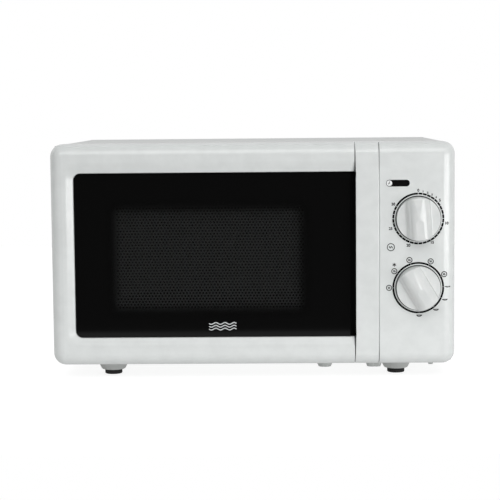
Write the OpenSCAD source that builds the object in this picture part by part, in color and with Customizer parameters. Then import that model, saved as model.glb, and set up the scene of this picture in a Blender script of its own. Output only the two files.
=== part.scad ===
// Countertop microwave oven with a mechanical timer, a power knob and a side-hung door that
// opens by a bridge handle. +Z is up and the front faces -Y. The origin is under the middle of
// the whole object, in the plane that its four feet stand on. A range such as [a, b] passed to
// a module below is a lowest and a highest coordinate along one axis.

/* [Cabinet] */
// Width of the plastic front, the widest part
body_w = 440; // [438:1:444]
// Height of the front's top edge above the table
body_h = 259; // [258:1:262]
// Depth from the flat of the front to the back of the rear panel
body_d = 333; // [332:1:336]
// Height of the front's bottom edge above the table
foot_h = 16.5; // [16:0.5:18]
// Radius of the front's outer corners
corner_r = 13.5; // [11:0.5:15]
// Thickness of the steel sheets
sheet = 0.8; // [0.7:0.1:0.8]

/* [Oven cavity] */
// Inside width of the oven cavity
cavity_w = 306; // [303:1:306]
// Inside height of the oven cavity
cavity_h = 200; // [196:1:201]
// Inside depth of the oven cavity
cavity_d = 295; // [290:1:296]

/* [Door] */
// Width of the door together with its handle bar
door_w = 356.5; // [356:0.5:357]
// Thickness of the door
door_t = 30; // [30:0.5:31]
// Width of the handle bar
handle_w = 25.5; // [25:0.5:26]
// How far the middle of the handle bar bows out past its ends
handle_bow = 3; // [2:0.5:4]
// Width of the bezel that slopes down to the window
bezel_w = 11; // [8:1:12]
// Width of the white band left of the window
window_margin = 25.6; // [24:0.2:26]
// Radius of the window's two left corners
window_r = 7.5; // [5:0.5:9]

/* [Controls] */
// Diameter of the knobs
knob_d = 47.4; // [46:0.2:48]
// Distance between the two knob centres
knob_pitch = 75.2; // [74:0.1:77]
// How far the knobs stand out of the front
knob_reach = 18; // [16:1:20]
// Turn of the timer knob at rest, clockwise as seen from the front
timer_turn = -4; // [-10:1:0]
// Turn of the power knob at rest, clockwise as seen from the front
power_turn = -31; // [-90:1:180]

/* [Turntable] */
// Diameter of the glass tray
tray_d = 255; // [250:1:260]
// Diameter of the roller wheels
wheel_d = 15.4; // [15:0.1:15.4]
// Radius of the circle that the wheels run on
track_r = 95; // [92:1:96]

/* [Fan] */
// Diameter of the fan blades
fan_d = 92; // [86:1:93]
// Number of fan blades
blades = 6; // [5:1:8]

/* [Hidden] */
$fn = 64;
// Colours of the real finishes
white = "#e9ebeb";
black = "#141414";
steel = "#b9bdbf";
enamel = "#dfe1df";
smoke = "#2a2a2b";
zinc = "#c9cdd0";
copper = "#b4703c";
// Small overshoot that lets a cut pass clean through a face
eps = 1;
// Gap between a turning pin or shaft and its bore, on the radius
fit = 0.06;
// Front to back: knob faces, front face, door back, front plate, rear panel, wall spacers
spacer_reach = 7;
total_d = knob_reach + body_d + spacer_reach;
face_y = knob_reach - total_d / 2;
rear_y = face_y + body_d;
door_back = face_y + door_t;
plate_y = door_back + 1;
inside_y = plate_y + sheet;
cavity_back = inside_y + cavity_d;
// Left to right: front, handle, gap, control panel
left_x = -body_w / 2;
right_x = body_w / 2;
door_right = left_x + door_w;
handle_left = door_right - handle_w;
panel_left = door_right + 1;
// The steel cover stands 1.5 mm inside the outline of the plastic front
cover_x = body_w / 2 - 1.5;
cover_top = body_h - 1.5;
skin = 2.5;
rim = 2.2;
// Cavity, whose floor has the turntable motor beneath it
cavity_left = left_x + 25.3;
cavity_right = cavity_left + cavity_w;
floor_z = foot_h + 20;
ceiling_z = floor_z + cavity_h;
bay_left = cavity_right + sheet;
table_x = (cavity_left + cavity_right) / 2;
table_y = (inside_y + cavity_back) / 2;
base_top = foot_h + sheet;
// Window opening in the door's front, and the layers of the door behind it
window_left = left_x + window_margin;
window_low = foot_h + 30.7;
window_high = body_h - 31.7;
glass_y = face_y + 6;
glass_t = 2.5;
door_plate_y = face_y + 17.5;
scoop_y = door_plate_y - 0.5;
choke_y = door_back - 2.4;
// Handle bar, whose front is an arc in side view
front_h = body_h - foot_h;
front_mid = (body_h + foot_h) / 2;
bow_r = (front_h * front_h / 4 + handle_bow * handle_bow) / (2 * handle_bow);
bow_y = face_y - handle_bow;
grip_wall = 3;
web = 4;
// Hinge pins of the door
pin_x = left_x + 6.5;
pin_y = face_y + 21;
pin_r = 2.5;
bush_r = 4;
tongue_t = 1.8;
upper_tongue = body_h - 9.4;
lower_tongue = foot_h + 7.6;
corner_clear = plate_y - pin_y - 0.5;
// Latch hooks
hook_x = 125;
hook_low = 70;
hook_high = 200;
hook_tip = inside_y + 17.2;
hook_lift = 4;
// Knobs
knob_x = (panel_left + right_x) / 2 + 0.75;
timer_z = front_mid + 38.25;
power_z = timer_z - knob_pitch;
well_r = knob_d / 2 + 1;
well_y = face_y + 5;
shaft_r = 3;
// Turntable: the tray rides on three wheels that roll on the cavity floor
play = 0.3;
wheel_z = floor_z + play + wheel_d / 2;
tray_z = floor_z + wheel_d + 2 * play;
axle_r = 2;
// Blower and magnetron share one air path in the bay behind the controls
bay_x = (bay_left + cover_x - sheet) / 2;
fan_z = front_mid + 46;
tube_y = 32;
tube_z = 190;
core_x = bay_x + 3;
foot_x = 159;
foot_front = -108;
foot_rear = 140;
pad_h = 5.3;
gland_x = 192;
gland_z = 52;

// A box between three ranges
module slab(x, y, z) {
    translate([x[0], y[0], z[0]])
        cube([x[1] - x[0], y[1] - y[0], z[1] - z[0]]);
}

// A flat outline in X and Z, extruded through a range of Y
module along_y(y) {
    translate([0, y[1], 0])
        rotate([90, 0, 0])
            linear_extrude(y[1] - y[0])
                children();
}

// A flat outline in Y and Z, extruded through a range of X
module along_x(x) {
    translate([x[0], 0, 0])
        rotate([90, 0, 90])
            linear_extrude(x[1] - x[0])
                children();
}

// A flat outline in X and Y, extruded through a range of Z
module along_z(z) {
    translate([0, 0, z[0]])
        linear_extrude(z[1] - z[0])
            children();
}

// A round bar or bore along Y
module rod_y(x, y, z, r) {
    along_y(y) translate([x, z]) circle(r);
}

// A round bar or bore along Z
module rod_z(x, y, z, r) {
    along_z(z) translate([x, y]) circle(r);
}

// A round bar or bore along X
module rod_x(x, y, z, r) {
    along_x(x) translate([y, z]) circle(r);
}

// A flat rectangle between two ranges
module rect(a, b) {
    translate([a[0], b[0]])
        square([a[1] - a[0], b[1] - b[0]]);
}

// A flat rectangle with round corners
module round_rect(a, b, r) {
    rect([a[0] + r, a[1] - r], b);
    rect(a, [b[0] + r, b[1] - r]);
    for (x = [a[0] + r, a[1] - r])
        for (z = [b[0] + r, b[1] - r])
            translate([x, z]) circle(r);
}

// The part of the front's rounded outline between two values of X, drawn in by an inset
module front_outline(x, inset = 0) {
    intersection() {
        round_rect([left_x + inset, right_x - inset], [foot_h + inset, body_h - inset],
            corner_r - inset);
        rect(x, [0, body_h]);
    }
}

// The solid behind the handle's arc, with its surface set back by a depth
module behind_bow(x, back) {
    along_x(x)
        translate([bow_y + bow_r, front_mid])
            circle(bow_r - back, $fn = 720);
}

// Everything behind the handle bar's wall, within a range of Z
module bow_pocket(x, z) {
    intersection() {
        slab(x, [bow_y, door_back + eps], z);
        behind_bow([x[0] - eps, x[1] + eps], grip_wall);
    }
}

// Room for the two hinge tongues as they turn inside the door
module tongue_room() {
    for (z = [upper_tongue, lower_tongue])
        slab([left_x - eps, pin_x + 4.8], [pin_y - 6.3, door_back + eps],
            [z - 0.6, z + tongue_t + 0.6]);
}

// What stays of the door's back left corner when it is rounded about the hinge pin
module round_back_corner() {
    difference() {
        slab([left_x - eps, pin_x], [pin_y, door_back + eps], [0, body_h + eps]);
        rod_z(pin_x, pin_y, [-eps, body_h + 2 * eps], corner_clear);
    }
}

// The block of the frame that holds a hinge bush
module hinge_block(z) {
    slab([left_x + rim - 0.2, pin_x + 6], [pin_y - 6.3, pin_y + 6.5], z);
}

// The window's outline, grown by a distance, with its left corners rounded
module window_outline(grow) {
    r = window_r + grow;
    round_rect([window_left - grow, handle_left + 2 * r],
        [window_low - grow, window_high + grow], r);
}

module door_frame() {
    color(white) difference() {
        union() {
            difference() {
                along_y([face_y, door_back - 0.6]) front_outline([left_x, handle_left]);
                along_y([face_y + skin, door_back])
                    front_outline([left_x, handle_left + eps], rim);
            }
            along_y([face_y + 1, glass_y])
                rect([window_left - bezel_w - 2, handle_left],
                    [window_low - bezel_w - 2, window_high + bezel_w + 2]);
            hinge_block([upper_tongue - 9.2, upper_tongue - 0.6]);
            hinge_block([lower_tongue + tongue_t + 0.6, lower_tongue + tongue_t + 9.2]);
        }
        hull() {
            along_y([face_y - eps, face_y]) window_outline(bezel_w, $fn = 32);
            along_y([glass_y - 1.5, glass_y + eps]) window_outline(0, $fn = 32);
        }
        rod_z(pin_x, pin_y, [upper_tongue - 10, upper_tongue], bush_r + 0.02);
        rod_z(pin_x, pin_y, [lower_tongue, lower_tongue + 12], bush_r + 0.02);
        tongue_room();
        round_back_corner();
    }
}

module door_window() {
    right = door_right - web;
    color(black) {
        along_y([glass_y, glass_y + glass_t])
            rect([window_left - 6, handle_left - 5], [window_low - 6, window_high + 6]);
        along_z([window_low + 1, window_high - 1])
            polygon([
                [handle_left - 5, glass_y],
                [handle_left + 6, scoop_y - glass_t],
                [right, scoop_y - glass_t],
                [right, scoop_y],
                [handle_left + 5, scoop_y],
                [handle_left - 5, glass_y + glass_t]
            ]);
    }
}

module door_handle() {
    inner_x = [handle_left - eps, door_right - web];
    color(white) difference() {
        intersection() {
            slab([handle_left, door_right], [bow_y, door_back - 0.6], [foot_h, body_h]);
            behind_bow([handle_left - eps, door_right + eps], 0);
        }
        bow_pocket(inner_x, [window_low + 1, window_high - 1]);
        bow_pocket([handle_left + rim, door_right - web], [foot_h + rim, window_low - 1.5]);
        bow_pocket([handle_left + rim, door_right - web], [window_high + 1.5, body_h - rim]);
        slab([handle_left - eps, door_right - web], [door_plate_y - 0.4, door_back],
            [foot_h + rim, body_h - rim]);
    }
}

module door_plate() {
    x = [left_x + 12.5, cavity_right + 7.5];
    z = [foot_h + 7, body_h - 7];
    color(steel) {
        along_y([door_plate_y, door_plate_y + sheet]) rect(x, z);
        along_y([door_plate_y + sheet, choke_y - sheet]) difference() {
            rect(x, z);
            rect([x[0] + sheet, x[1] - sheet], [z[0] + sheet, z[1] - sheet]);
        }
        along_y([choke_y - sheet, choke_y]) difference() {
            rect(x, z);
            rect([x[0] + 4, x[1] - 4], [z[0] + 4, z[1] - 4]);
        }
    }
}

module door_choke_cover() {
    outer_x = [left_x + 10, door_right - web - 0.3];
    outer_z = [foot_h + 4, body_h - 4];
    inner_x = [cavity_left + 10, cavity_right - 8];
    inner_z = [floor_z + 10, ceiling_z - 10];
    color(smoke) difference() {
        union() {
            along_y([choke_y, door_back]) rect(outer_x, outer_z);
            along_y([door_plate_y + sheet, choke_y])
                rect([inner_x[0] - 1.6, inner_x[1] + 1.6], [inner_z[0] - 1.6, inner_z[1] + 1.6]);
            for (z = [118, 148])
                slab([hook_x - 5.2, hook_x + 5.2], [choke_y - 7, choke_y], [z, z + 6]);
            slab([hook_x - 4, hook_x + 4], [choke_y - 7, choke_y],
                [hook_high + 26, hook_high + 28]);
        }
        along_y([door_plate_y, door_back + eps]) rect(inner_x, inner_z);
        for (z = [hook_low, hook_high])
            slab([hook_x - 4.4, hook_x + 4.4], [choke_y - eps, door_back + eps],
                [z - 12, z + 10]);
        slab([hook_x - 3.4, hook_x + 3.4], [choke_y - 6, choke_y - 1.2], [117, 155]);
        tongue_room();
        round_back_corner();
    }
}

module door_inner_window() {
    y = door_plate_y + sheet;
    color(black, 0.6) along_y([y, y + 0.5])
        rect([table_x - 112, table_x + 111], [front_mid - 66, front_mid + 62]);
}

module door_bushes() {
    color("ivory") for (z = [upper_tongue - 8.6, lower_tongue + tongue_t + 0.6])
        difference() {
            rod_z(pin_x, pin_y, [z, z + 8], bush_r);
            rod_z(pin_x, pin_y, [z - eps, z + 8 + eps], pin_r + fit);
        }
}

module door_hook() {
    y = [choke_y - 5.6, choke_y - 1.6];
    color("lightgray") {
        slab([hook_x - 3, hook_x + 3], y, [hook_low - 8, hook_high + 10]);
        for (z = [hook_low, hook_high])
            along_x([hook_x - 2.5, hook_x + 2.5])
                polygon([
                    [y[0] + 1, z - 4],
                    [hook_tip - 6, z - 4],
                    [hook_tip - 6, z - 9],
                    [hook_tip, z - 6],
                    [hook_tip, z + 4],
                    [y[0] + 1, z + 4]
                ]);
    }
}

module door_hook_spring() {
    color(steel)
        translate([hook_x, choke_y - 3.6, hook_high + 10])
            rotate_extrude()
                rect([1.4, 2.2], [0, 16]);
}

// A bracket behind the front plate, its tongue through the plate, and the pin that hangs
// from the upper tongue or stands on the lower one
module hinge(tongue, flange, pin) {
    z = [tongue, tongue + tongue_t];
    rod_z(pin_x, pin_y, z, 4.5);
    slab([pin_x - 4.2, pin_x + 4.5], [pin_y, inside_y + 1.5], z);
    slab([pin_x - 3.5, cavity_left - 2], [inside_y, inside_y + 1.5], flange);
    rod_z(pin_x, pin_y, pin, pin_r);
}

module door_hinges() {
    color(zinc) {
        hinge(upper_tongue, [upper_tongue - 12, upper_tongue + tongue_t],
            [upper_tongue - 8.2, upper_tongue + 0.5]);
        hinge(lower_tongue, [lower_tongue, lower_tongue + 14],
            [lower_tongue + 1, lower_tongue + tongue_t + 8.2]);
    }
}

module control_panel() {
    color(white) difference() {
        union() {
            difference() {
                along_y([face_y, plate_y]) front_outline([panel_left, right_x]);
                along_y([face_y + skin, plate_y + eps]) intersection() {
                    front_outline([panel_left, right_x], rim);
                    rect([panel_left + rim, right_x], [foot_h, body_h]);
                }
            }
            for (z = [timer_z, power_z])
                rod_y(knob_x, [face_y + 1, well_y + 2], z, well_r + 1.8);
        }
        for (z = [timer_z, power_z]) {
            rod_y(knob_x, [face_y - eps, well_y], z, well_r);
            rod_y(knob_x, [well_y - eps, well_y + 3], z, shaft_r + 2);
        }
    }
}

// Knob with a wedge-shaped grip across its face, about the origin of X and Z
module knob() {
    r = knob_d / 2;
    front = face_y - knob_reach;
    base = well_y - 1.5;
    difference() {
        union() {
            rod_y(0, [face_y - 5, base], 0, r);
            intersection() {
                rod_y(0, [front, base], 0, r);
                along_z([-r, r])
                    polygon([[-12.5, face_y - 5], [-4.2, front], [4.2, front], [12.5, face_y - 5]]);
            }
        }
        rod_y(0, [face_y - 9, base + eps], 0, shaft_r + 0.02);
        difference() {
            rod_y(0, [face_y - 2, base + eps], 0, r - 2);
            rod_y(0, [face_y - 3, base + eps], 0, shaft_r + 3);
        }
    }
}

module timer_knob() {
    color(white) translate([knob_x, 0, timer_z]) rotate([0, timer_turn, 0]) knob();
}

module power_knob() {
    color(white) translate([knob_x, 0, power_z]) rotate([0, power_turn, 0]) knob();
}

module shaft(z) {
    rod_y(knob_x, [face_y - 9, well_y + 15], z, shaft_r);
}

module timer_shaft() {
    color("ivory") shaft(timer_z);
}

module power_shaft() {
    color("ivory") shaft(power_z);
}

// Clockwork and cam switches behind both knobs, on a steel front plate
module timer_unit() {
    y = well_y + 2;
    color("gainsboro") difference() {
        union() {
            slab([knob_x - 22, knob_x + 22], [y, y + 1.5], [power_z - 26, timer_z + 30]);
            slab([knob_x - 20, knob_x + 20], [y + 1.5, y + 36], [timer_z - 26, timer_z + 22]);
            slab([knob_x - 17, knob_x + 17], [y + 1.5, y + 28], [power_z - 20, power_z + 20]);
            rod_y(knob_x - 14, [y + 1.5, y + 20], (timer_z + power_z) / 2 - 3, 2.5);
        }
        for (z = [timer_z, power_z])
            rod_y(knob_x, [y - eps, y + 16], z, shaft_r + fit);
    }
}

module timer_bell() {
    y = well_y + 40;
    color(zinc) {
        translate([knob_x, y, timer_z]) rotate([-90, 0, 0]) difference() {
            cylinder(h = 10, r1 = 17, r2 = 12);
            translate([0, 0, -0.01]) cylinder(h = 8.8, r1 = 15.8, r2 = 11);
        }
        rod_y(knob_x, [y - 2, y + 9.5], timer_z, 2);
    }
}

module cavity_front_plate() {
    color(enamel) along_y([plate_y, plate_y + sheet]) difference() {
        rect([-cover_x + sheet + 0.2, panel_left + 16], [base_top, cover_top - sheet]);
        rect([cavity_left, cavity_right], [floor_z, ceiling_z]);
        for (z = [upper_tongue, lower_tongue])
            rect([left_x, pin_x + 4.7], [z - 0.3, z + tongue_t + 0.3]);
        for (z = [hook_low, hook_high])
            rect([hook_x - 5, hook_x + 6], [z - 12, z + 10]);
    }
}

module cavity_floor() {
    color(enamel) difference() {
        slab([cavity_left, cavity_right], [inside_y, cavity_back], [floor_z - sheet, floor_z]);
        rod_z(table_x, table_y, [floor_z - 2, floor_z + 1], 6);
    }
}

module cavity_ceiling() {
    color(enamel) slab([cavity_left, cavity_right], [inside_y, cavity_back],
        [ceiling_z, ceiling_z + sheet]);
}

module cavity_left_wall() {
    color(enamel) slab([cavity_left - sheet, cavity_left], [inside_y, cavity_back],
        [floor_z - sheet, ceiling_z + sheet]);
}

// The wall beside the bay, with the microwave port and a sieve for the lamp's light
module cavity_right_wall() {
    color(enamel) difference() {
        slab([cavity_right, bay_left], [inside_y, cavity_back],
            [floor_z - sheet, ceiling_z + sheet]);
        slab([cavity_right - eps, bay_left + eps], [tube_y - 38, tube_y + 38],
            [tube_z - 30, tube_z + 30]);
        for (y = [-76:6:-46])
            for (z = [196:6:220])
                rod_x([cavity_right - eps, bay_left + eps], y, z, 1.6);
    }
}

module cavity_back_wall() {
    color(enamel) slab([cavity_left - sheet, bay_left], [cavity_back, cavity_back + sheet],
        [floor_z - sheet, ceiling_z + sheet]);
}

// Rows of slots through the cover's sides, in ranges of Y and Z
module side_slots(x, rows) {
    for (y = [rows[0][0]:7:rows[0][1]])
        for (z = [rows[1][0]:26:rows[1][1]])
            slab(x, [y, y + 3], [z, z + 20]);
}

module outer_cover() {
    y = [inside_y, rear_y - sheet];
    color(white) difference() {
        along_y(y) difference() {
            union() {
                round_rect([-cover_x, cover_x], [foot_h + 40, cover_top], 6);
                rect([-cover_x, cover_x], [foot_h, foot_h + 60]);
            }
            round_rect([sheet - cover_x, cover_x - sheet],
                [foot_h + 40, cover_top - sheet], 6 - sheet);
            rect([sheet - cover_x, cover_x - sheet], [foot_h - eps, foot_h + 60]);
        }
        side_slots([cover_x - 2, cover_x + eps], [[-20, 130], [40, 70]]);
        side_slots([-cover_x - eps, 2 - cover_x], [[60, 140], [185, 215]]);
    }
}

module base_plate() {
    x = cover_x - sheet;
    color(zinc) {
        slab([-x, x], [inside_y, rear_y - sheet], [foot_h, base_top]);
        for (side = [[-x, sheet - x], [x - sheet, x]])
            slab(side, [inside_y + 2, rear_y - 2 * sheet], [base_top, base_top + 12]);
        // Pressed bosses that stand out of the underside behind the front edge
        translate([79, -116, foot_h - 8.5]) cylinder(h = 8.5, r1 = 7, r2 = 11);
        for (x = [131.5, 135.7])
            translate([x, -120.5, foot_h - 8]) cylinder(h = 8, r1 = 5.5, r2 = 8);
        translate([197, -118, foot_h - 6.5]) cylinder(h = 6.5, r1 = 2.5, r2 = 4);
    }
}

module rear_panel() {
    color(zinc) difference() {
        along_y([rear_y - sheet, rear_y])
            round_rect([-cover_x, cover_x], [foot_h, cover_top], 5);
        rod_y(gland_x, [rear_y - 2, rear_y + 1], gland_z, 8);
        // Intake slots in front of the blower
        for (z = [fan_z - 36:9:fan_z + 36])
            slab([bay_x - 34, bay_x + 34], [rear_y - 2, rear_y + 1], [z, z + 4]);
        // Outlet slots for the cavity's steam
        for (x = [-150:10:-60])
            slab([x, x + 4], [rear_y - 2, rear_y + 1], [200, 226]);
        for (p = screw_places())
            rod_y(p[0], [rear_y - 2, rear_y + 1], p[1], 1.7);
    }
}

// Places of the cover's screws in X and Z
function screw_places() = [for (x = [-205, 0, 205]) for (z = [30, 247]) [x, z]];

module cover_screws() {
    color(steel) for (p = screw_places()) {
        rod_y(p[0], [rear_y, rear_y + 2], p[1], 3.6);
        rod_y(p[0], [rear_y - 8, rear_y], p[1], 1.6);
    }
}

module rear_spacers() {
    color(smoke) for (x = [-150, 150])
        translate([x, rear_y, body_h - 22]) rotate([-90, 0, 0])
            cylinder(h = spacer_reach, r1 = 9, r2 = 7);
}

// Strain relief for the mains lead, with the bore that the lead passes through
module cord_gland() {
    color(black) difference() {
        union() {
            rod_y(gland_x, [rear_y - 8, rear_y], gland_z, 7.9);
            rod_y(gland_x, [rear_y, rear_y + 3], gland_z, 11);
            rod_y(gland_x, [rear_y + 3, rear_y + 6], gland_z, 7);
        }
        rod_y(gland_x, [rear_y - 8 - eps, rear_y + 6 + eps], gland_z, 3.8);
    }
}

module at_feet() {
    for (x = [-foot_x, foot_x])
        for (y = [foot_front, foot_rear])
            translate([x, y, 0]) children();
}

module foot_cups() {
    color("lightgray") at_feet() difference() {
        translate([0, 0, pad_h]) cylinder(h = foot_h - pad_h, r1 = 13.5, r2 = 18.5);
        translate([0, 0, pad_h - eps]) cylinder(h = 3 + eps, r = 8);
    }
}

module foot_pads() {
    color(black) at_feet() {
        cylinder(h = pad_h, r = 9.7);
        translate([0, 0, pad_h]) cylinder(h = 3, r = 7.9);
    }
}

// Plastic frame behind the front plate that guides the hooks and holds the switches
module latch_board() {
    color("ivory") difference() {
        slab([bay_left + 4, hook_x + 10], [inside_y, inside_y + 38],
            [hook_low - 18, hook_high + 18]);
        for (z = [hook_low, hook_high])
            slab([hook_x - 6, hook_x + 6], [inside_y - eps, inside_y + 40], [z - 13, z + 11]);
        slab([bay_left + 6.5, hook_x + 10 + eps], [inside_y + 3, inside_y + 40],
            [hook_low + 16, hook_high - 18]);
    }
}

// One switch with its plunger's bore in front
module switch_body(z, plunger) {
    difference() {
        slab([hook_x - 6, hook_x + 6], [hook_tip + 4, hook_tip + 18], z);
        rod_y(hook_x, [hook_tip + 3, hook_tip + 9.5], plunger, 1.3 + fit);
    }
}

module plunger(z) {
    rod_y(hook_x, [hook_tip + 0.4, hook_tip + 7.5], z, 1.3);
}

module door_switches() {
    color("dimgray") {
        switch_body([hook_high - 8, hook_high + 8], hook_high);
        switch_body([hook_low - 13, hook_low - 1.5], hook_low - 3.5);
        switch_body([hook_low - 1, hook_low + 11], hook_low + 2.5);
    }
}

module upper_plunger() {
    color("tomato") plunger(hook_high);
}

module lower_plungers() {
    color("tomato") {
        plunger(hook_low - 3.5);
        plunger(hook_low + 2.5);
    }
}

// Sheet metal horn from the magnetron to the port in the cavity wall
module waveguide() {
    x = [bay_left, bay_left + 34];
    y = [tube_y - 45, tube_y + 45];
    z = [tube_z - 38, tube_z + 38];
    color(zinc) difference() {
        slab(x, y, z);
        slab([x[0] - eps, x[1] - sheet], [y[0] + sheet, y[1] - sheet],
            [z[0] + sheet, z[1] - sheet]);
        rod_x([x[1] - 2, x[1] + eps], tube_y, tube_z, 14);
    }
}

module waveguide_cover() {
    color("tan") slab([cavity_right - 0.5, cavity_right], [tube_y - 42, tube_y + 42],
        [tube_z - 34, tube_z + 34]);
}

// Steel frame of the magnetron, open front and back for the air
module magnetron_yoke() {
    x = [bay_left + 34, bay_left + 96];
    y = [tube_y - 36, tube_y + 36];
    z = [tube_z - 36, tube_z + 36];
    color(steel) difference() {
        slab(x, y, z);
        slab([x[0] + 1.5, x[1] - 1.5], [y[0] - eps, y[1] + eps], [z[0] + 1.5, z[1] - 1.5]);
        rod_x([x[0] - eps, x[0] + 3], tube_y, tube_z, 10);
    }
}

module magnetron_anode() {
    x = [bay_left + 45, bay_left + 85];
    color(copper) {
        rod_x(x, tube_y, tube_z, 18);
        rod_x([bay_left + 10, x[0]], tube_y, tube_z, 8);
        rod_x([x[1], bay_left + 92], tube_y, tube_z, 8);
    }
}

module magnetron_fins() {
    color("silver") for (x = [bay_left + 49:6:bay_left + 81])
        difference() {
            slab([x, x + 0.6], [tube_y - 34, tube_y + 34], [tube_z - 34.5, tube_z + 34.5]);
            rod_x([x - eps, x + 2], tube_y, tube_z, 18.02);
        }
}

module magnetron_magnets() {
    color("dimgray") for (x = [bay_left + 35.5, bay_left + 85])
        difference() {
            rod_x([x, x + 9.5], tube_y, tube_z, 27);
            rod_x([x - eps, x + 9.5 + eps], tube_y, tube_z, 11);
        }
}

module transformer_core() {
    color("dimgray") difference() {
        slab([core_x - 38, core_x + 38], [-60, -10], [base_top, base_top + 66]);
        for (x = [core_x - 25, core_x + 13])
            slab([x, x + 12], [-60 - eps, -10 + eps], [base_top + 13, base_top + 53]);
    }
}

module transformer_windings() {
    color(copper) for (z = [base_top + 13, base_top + 35])
        difference() {
            slab([core_x - 25, core_x + 25], [-72, 2], [z, z + 18]);
            slab([core_x - 13, core_x + 13], [-60, -10], [z - eps, z + 18 + eps]);
        }
}

// Oval cross-section of the capacitor's can, standing off by a distance
module can_outline(off) {
    for (x = [core_x - 11, core_x + 11])
        translate([x, base_top + 19]) circle(16 + off);
    rect([core_x - 11, core_x + 11], [base_top + 3 - off, base_top + 35 + off]);
}

module capacitor() {
    color("silver") {
        along_y([24, 112]) can_outline(0);
        for (x = [core_x - 10, core_x + 10])
            rod_y(x, [112, 120], base_top + 19, 3);
    }
}

module capacitor_clamp() {
    color(zinc) difference() {
        along_y([60, 72]) union() {
            can_outline(1);
            rect([core_x - 36, core_x + 36], [base_top, base_top + 3.5]);
        }
        along_y([59, 73]) can_outline(0.02);
    }
}

module diode() {
    color(black) {
        rod_y(core_x - 10, [120, 138], base_top + 19, 4);
        slab([core_x - 12, core_x - 8], [138, 150], [base_top, base_top + 20]);
    }
}

module fan_shroud() {
    y = [rear_y - 30, rear_y - sheet];
    color("ivory") difference() {
        union() {
            difference() {
                slab([bay_left + 0.4, cover_x - sheet - 0.4], y, [fan_z - 51, fan_z + 51]);
                rod_y(bay_x, [y[0] - eps, y[1] + eps], fan_z, fan_d / 2 + 2);
            }
            slab([bay_x - 50, bay_x + 50], [y[0] - 6, y[0]], [fan_z - 9, fan_z + 9]);
        }
        rod_y(bay_x, [y[0] - 6 - eps, y[0] + eps], fan_z, shaft_r + fit);
    }
}

module fan_motor() {
    y = rear_y - 36;
    color(steel) difference() {
        union() {
            slab([bay_x - 24, bay_x + 24], [y - 20, y - 4], [fan_z - 20, fan_z + 30]);
            slab([bay_x - 14, bay_x + 14], [y - 30, y - 20], [fan_z + 8, fan_z + 28]);
            rod_y(bay_x, [y - 4, y], fan_z, 11);
        }
        rod_y(bay_x, [y - 18, y + eps], fan_z, shaft_r + fit);
    }
}

module fan_blade() {
    y = rear_y - 26;
    r = fan_d / 2;
    color("ivory") {
        rod_y(bay_x, [y - 26, y], fan_z, shaft_r);
        rod_y(bay_x, [y, y + 16], fan_z, 12);
        translate([bay_x, y + 8, fan_z]) intersection() {
            rod_y(0, [-8, 8], 0, r);
            for (i = [0:blades - 1])
                rotate([0, i * 360 / blades, 0])
                    translate([0, 0, 10])
                        rotate([0, 0, 35])
                            slab([-14, 14], [-0.8, 0.8], [0, r]);
        }
    }
}

module oven_lamp() {
    color("lightyellow") {
        rod_x([bay_left + 6, bay_left + 24], -61, 208, 10);
        translate([bay_left + 6, -61, 208]) sphere(4);
    }
}

module lamp_holder() {
    color("ivory") difference() {
        union() {
            rod_x([bay_left + 24, bay_left + 40], -61, 208, 13);
            slab([bay_left, bay_left + 40], [-78, -74.5], [192, 224]);
        }
    }
    color("ivory") slab([bay_left + 36, bay_left + 40], [-78, -61], [200, 216]);
}

// Two thermostats: one on the magnetron's frame, one on the cavity's ceiling
module thermal_cutouts() {
    color(black) {
        rod_z(bay_left + 65, tube_y, [tube_z + 36, tube_z + 45], 8);
        rod_z(cavity_right - 40, 60, [ceiling_z + sheet, ceiling_z + sheet + 9], 8);
    }
}

// Mains filter on two posts in front of the rear panel
module filter_board() {
    y = rear_y - 14;
    color("darkgreen") slab([bay_left + 10, bay_left + 72], [y, y + 1.6], [78, 128]);
    color("gold") {
        for (x = [bay_left + 16, bay_left + 66])
            rod_y(x, [y + 1.6, rear_y - sheet], 83, 3);
        rod_y(bay_left + 30, [y - 14, y], 108, 10);
        rod_y(bay_left + 54, [y - 14, y], 108, 10);
        slab([bay_left + 24, bay_left + 58], [y - 7, y], [82, 90]);
    }
}

module turntable_motor() {
    color(steel) difference() {
        union() {
            rod_z(table_x, table_y, [base_top + 2, floor_z - 2], 25);
            slab([table_x - 34, table_x + 34], [table_y - 8, table_y + 8],
                [floor_z - 2, floor_z - sheet]);
        }
        rod_z(table_x, table_y, [floor_z - 10, floor_z], 3.5 + fit);
    }
}

// Three-lobed hub that turns the tray, on the motor's shaft
module turntable_coupler() {
    color("ivory") {
        rod_z(table_x, table_y, [floor_z - 9, floor_z + 4], 3.5);
        rod_z(table_x, table_y, [floor_z + 4, tray_z], 9);
        translate([table_x, table_y, 0]) for (i = [0:2])
            rotate([0, 0, i * 120])
                slab([4, 19], [-3.5, 3.5], [floor_z + 6, tray_z]);
    }
}

module roller_ring() {
    color("ivory") translate([table_x, table_y, 0]) {
        difference() {
            rod_z(0, 0, [wheel_z - 3, wheel_z + 3], track_r - 9);
            rod_z(0, 0, [wheel_z - 4, wheel_z + 4], track_r - 15);
        }
        for (i = [0:2])
            rotate([0, 0, i * 120]) {
                rod_x([track_r - 10, track_r + 6], 0, wheel_z, axle_r);
                rod_x([track_r + 4.2, track_r + 6], 0, wheel_z, axle_r + 1.5);
            }
    }
}

module roller_wheel(i) {
    color("gainsboro")
        translate([table_x, table_y, 0])
            rotate([0, 0, i * 120])
                difference() {
                    rod_x([track_r - 4, track_r + 4], 0, wheel_z, wheel_d / 2);
                    rod_x([track_r - 5, track_r + 5], 0, wheel_z, axle_r + fit);
                }
}

module glass_tray() {
    r = tray_d / 2;
    color("lightcyan", 0.5) translate([table_x, table_y, tray_z]) rotate_extrude() polygon([
        [0, 0], [r - 26, 0], [r - 16, 3], [r - 2, 10], [r, 12.5],
        [r, 14], [r - 3, 14], [r - 18, 7], [r - 28, 4.5], [0, 4.5]
    ]);
}

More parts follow.
